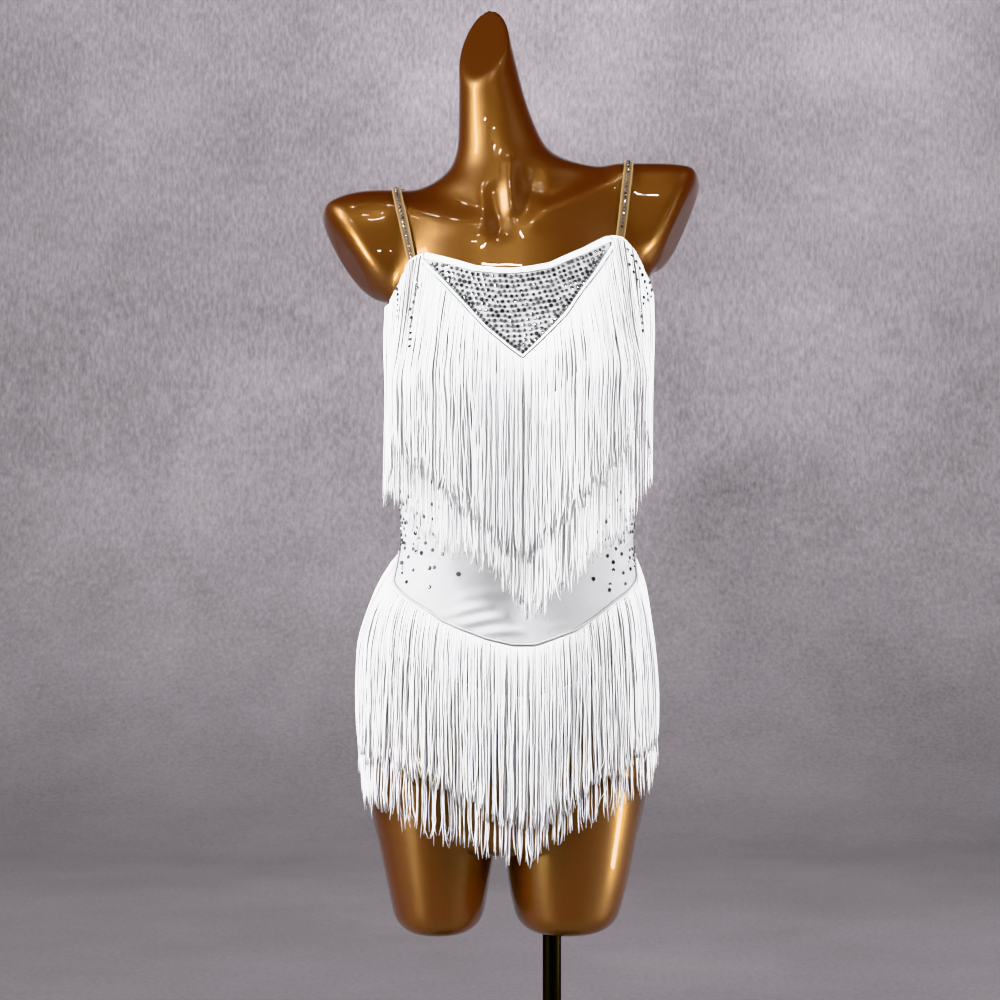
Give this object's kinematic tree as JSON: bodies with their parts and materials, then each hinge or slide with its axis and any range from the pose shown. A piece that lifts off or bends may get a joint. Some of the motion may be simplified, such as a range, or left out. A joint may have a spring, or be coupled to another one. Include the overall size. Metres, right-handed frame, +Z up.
{
  "type": "fringed latin dance dress on a limbless dress form",
  "caption": "Sleeveless white dance dress with a stoned V yoke, thin straps and tiered hanging fringe on chest and skirt, worn by a lacquered dress form on a pole and round base.",
  "frame": {"origin": "middle of the base plate's underside, on the pole's axis", "axes": "+X to the viewer's right, -Y to the dress's front, +Z up"},
  "size_m": [0.4067, 0.34, 1.3843],
  "materials": {
    "form_lacquer": "pearl bronze-gold lacquer with a clear coat",
    "pole_metal": "dark olive-brown plated steel tube",
    "base_steel": "dark satin paint",
    "cloth_white": "smooth matt stretch knit",
    "trim_white": "soft-sheen elastic binding",
    "fringe_white": "fine twisted rayon cord",
    "strap_elastic": "skin-tone elastic"
  },
  "bodies": {
    "root": {"dress_form": "form_lacquer", "pole": "pole_metal", "base_collar": "base_steel", "base_plate": "base_steel", "front_yoke": "cloth_white", "front_panel": "cloth_white", "back_panel": "cloth_white", "skirt_base_front": "cloth_white", "skirt_base_back": "cloth_white", "neck_binding": "trim_white", "v_piping": "trim_white", "skirt_piping": "trim_white", "chest_fringe_upper": "fringe_white", "chest_fringe_lower": "fringe_white", "skirt_fringe_upper": "fringe_white", "skirt_fringe_lower": "fringe_white", "strap_left": "strap_elastic", "strap_right": "strap_elastic"}
  },
  "joints": []
}
